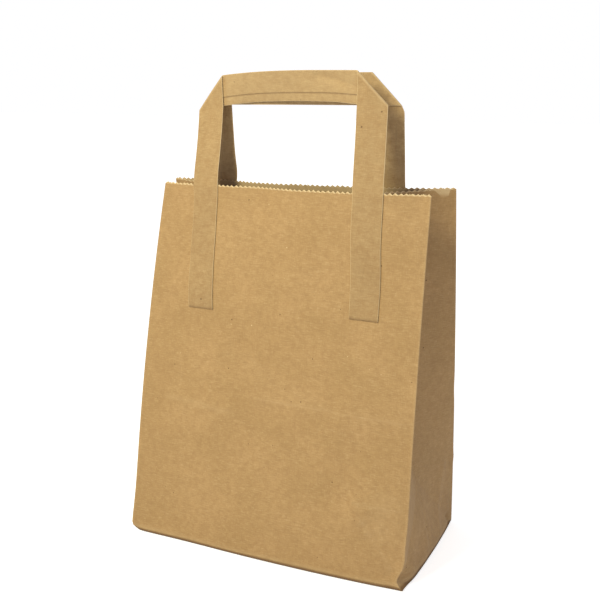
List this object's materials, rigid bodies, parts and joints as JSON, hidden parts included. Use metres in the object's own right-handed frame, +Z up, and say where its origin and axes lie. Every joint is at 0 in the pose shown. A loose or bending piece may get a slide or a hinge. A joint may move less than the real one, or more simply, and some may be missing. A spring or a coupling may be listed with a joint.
{
  "type": "brown kraft paper carrier bag with folded handles",
  "caption": "Small brown kraft paper bag with pleated sides, block bottom, pinked mouth and flat folded paper strip handles.",
  "frame": {"origin": "on the floor under the middle of the base", "axes": "+X along the wide front panel, -Y out of the front panel, +Z up through the mouth"},
  "size_m": [0.183, 0.101, 0.2817],
  "materials": {
    "kraft_sheet": "matt",
    "kraft_front_strip": "matt",
    "kraft_back_strip": "matt"
  },
  "bodies": {
    "root": {"bag_body": "kraft_sheet", "front_handle": "kraft_front_strip", "back_handle": "kraft_back_strip"}
  },
  "joints": []
}
